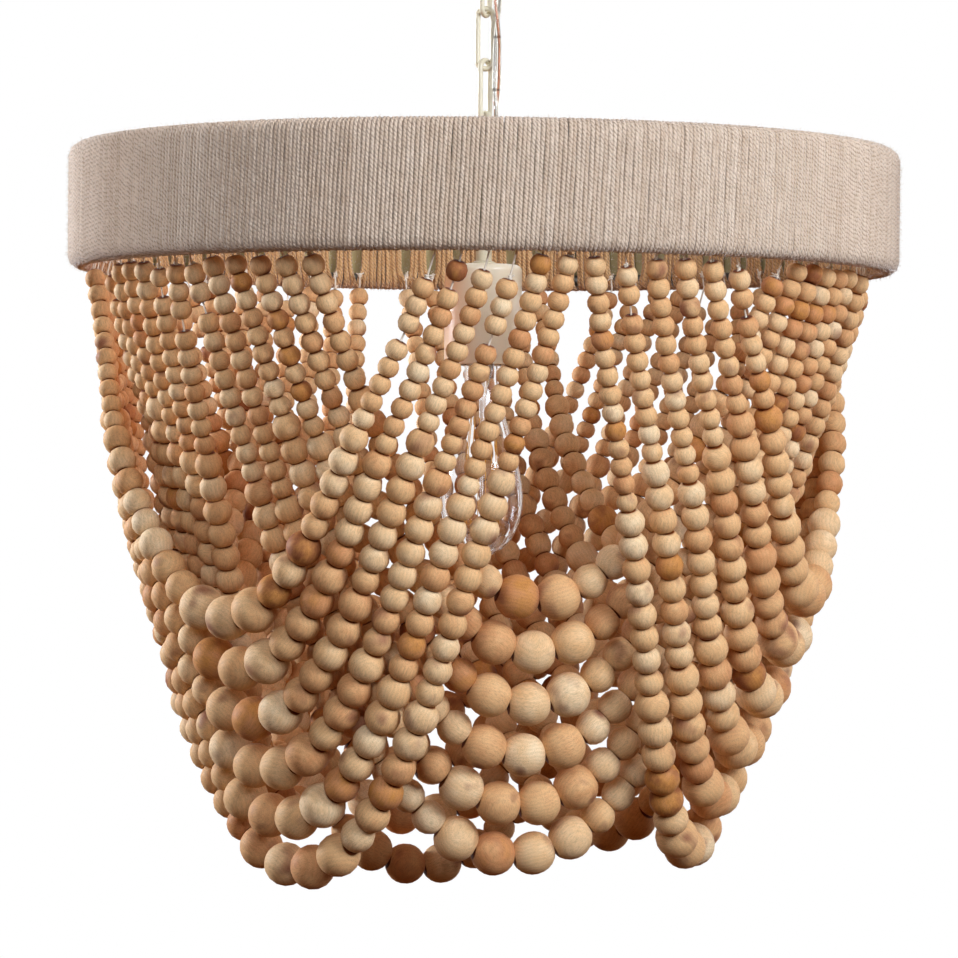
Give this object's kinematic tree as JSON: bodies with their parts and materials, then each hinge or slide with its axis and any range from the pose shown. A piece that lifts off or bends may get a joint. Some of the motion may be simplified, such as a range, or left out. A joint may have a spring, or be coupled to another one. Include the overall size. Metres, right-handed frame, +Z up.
{
  "type": "beaded chandelier",
  "caption": "Drum chandelier: a twine-wrapped ring on a short painted chain, with looping wooden bead strands hung round one bare bulb in an enamelled cup.",
  "frame": {"origin": "middle of the canopy on the plane of the ceiling", "axes": "+Z up, -Y towards the front, +X to the right as seen from the front"},
  "size_m": [0.61, 0.61, 0.7602],
  "materials": {
    "zinc_steel": "zinc plated, dull",
    "cream_paint": "cream paint, satin, slightly worn",
    "clear_flex": "clear vinyl over copper and tinned strands",
    "hoop_steel": "plain round rod",
    "olive_liner": "woven strip, matte",
    "cotton_twine": "off-white plied cotton, matte",
    "cream_enamel": "warm cream enamel, soft gloss",
    "porcelain": "white glaze",
    "brass": "plain screw shell",
    "clear_glass": "clear, smooth",
    "pale_wood": "raw pale wood, sanded, fine grain",
    "rosy_wood": "raw rosy wood, sanded, fine grain"
  },
  "bodies": {
    "ceiling": {"crossbar": "zinc_steel", "canopy": "cream_paint", "canopy_nipple": "zinc_steel", "canopy_locknut": "zinc_steel", "canopy_collar": "cream_paint", "canopy_loop": "cream_paint", "lamp_cord": "clear_flex"},
    "link_1": {"chain_link_1": "cream_paint"},
    "link_2": {"chain_link_2": "cream_paint"},
    "link_3": {"chain_link_3": "cream_paint"},
    "fixture": {"fixture_loop": "cream_paint", "hub": "cream_paint", "spider_arm_1": "cream_paint", "spider_arm_2": "cream_paint", "spider_arm_3": "cream_paint", "top_hoop": "hoop_steel", "bottom_hoop": "hoop_steel", "liner": "olive_liner", "twine_wrap": "cotton_twine", "stem": "cream_paint", "socket_cup": "cream_enamel", "lampholder": "porcelain", "front_strand_1": "pale_wood", "front_strand_2": "rosy_wood", "front_strand_3": "pale_wood", "front_strand_4": "rosy_wood", "front_strand_5": "pale_wood", "front_strand_6": "rosy_wood", "right_strand_1": "pale_wood", "right_strand_2": "rosy_wood", "right_strand_3": "pale_wood", "right_strand_4": "rosy_wood", "right_strand_5": "pale_wood", "right_strand_6": "rosy_wood", "right_rear_strand_1": "pale_wood", "right_rear_strand_2": "rosy_wood", "right_rear_strand_3": "pale_wood", "right_rear_strand_4": "rosy_wood", "right_rear_strand_5": "pale_wood", "right_rear_strand_6": "rosy_wood", "rear_strand_1": "pale_wood", "rear_strand_2": "rosy_wood", "rear_strand_3": "pale_wood", "rear_strand_4": "rosy_wood", "rear_strand_5": "pale_wood", "rear_strand_6": "rosy_wood", "left_rear_strand_1": "pale_wood", "left_rear_strand_2": "rosy_wood", "left_rear_strand_3": "pale_wood", "left_rear_strand_4": "rosy_wood", "left_rear_strand_5": "pale_wood", "left_rear_strand_6": "rosy_wood", "left_strand_1": "pale_wood", "left_strand_2": "rosy_wood", "left_strand_3": "pale_wood", "left_strand_4": "rosy_wood", "left_strand_5": "pale_wood", "left_strand_6": "rosy_wood"},
    "bulb": {"bulb_base": "brass", "bulb_glass": "clear_glass"}
  },
  "joints": [
    {"name": "link_1_swing", "type": "hinge", "parent": "ceiling", "child": "link_1", "pos_m": [0, 0, -0.0641], "axis": [1, 0, 0], "range_deg": [-10, 10], "deforming": ["lamp_cord"]},
    {"name": "link_2_swing", "type": "hinge", "parent": "link_1", "child": "link_2", "pos_m": [0, 0, -0.10313], "axis": [0.5, 0.866, 0], "range_deg": [-10, 10], "deforming": ["lamp_cord"]},
    {"name": "link_3_swing", "type": "hinge", "parent": "link_2", "child": "link_3", "pos_m": [0, 0, -0.14261], "axis": [1, 0, 0], "range_deg": [-10, 10], "deforming": ["lamp_cord"]},
    {"name": "fixture_swing", "type": "hinge", "parent": "link_3", "child": "fixture", "pos_m": [0, 0, -0.18083], "axis": [0.6157, 0.788, 0], "range_deg": [-10, 10], "deforming": ["lamp_cord"]},
    {"name": "bulb_turn", "type": "hinge", "parent": "fixture", "child": "bulb", "pos_m": [0, 0, -0.34], "axis": [0, 0, 1], "continuous": true}
  ]
}
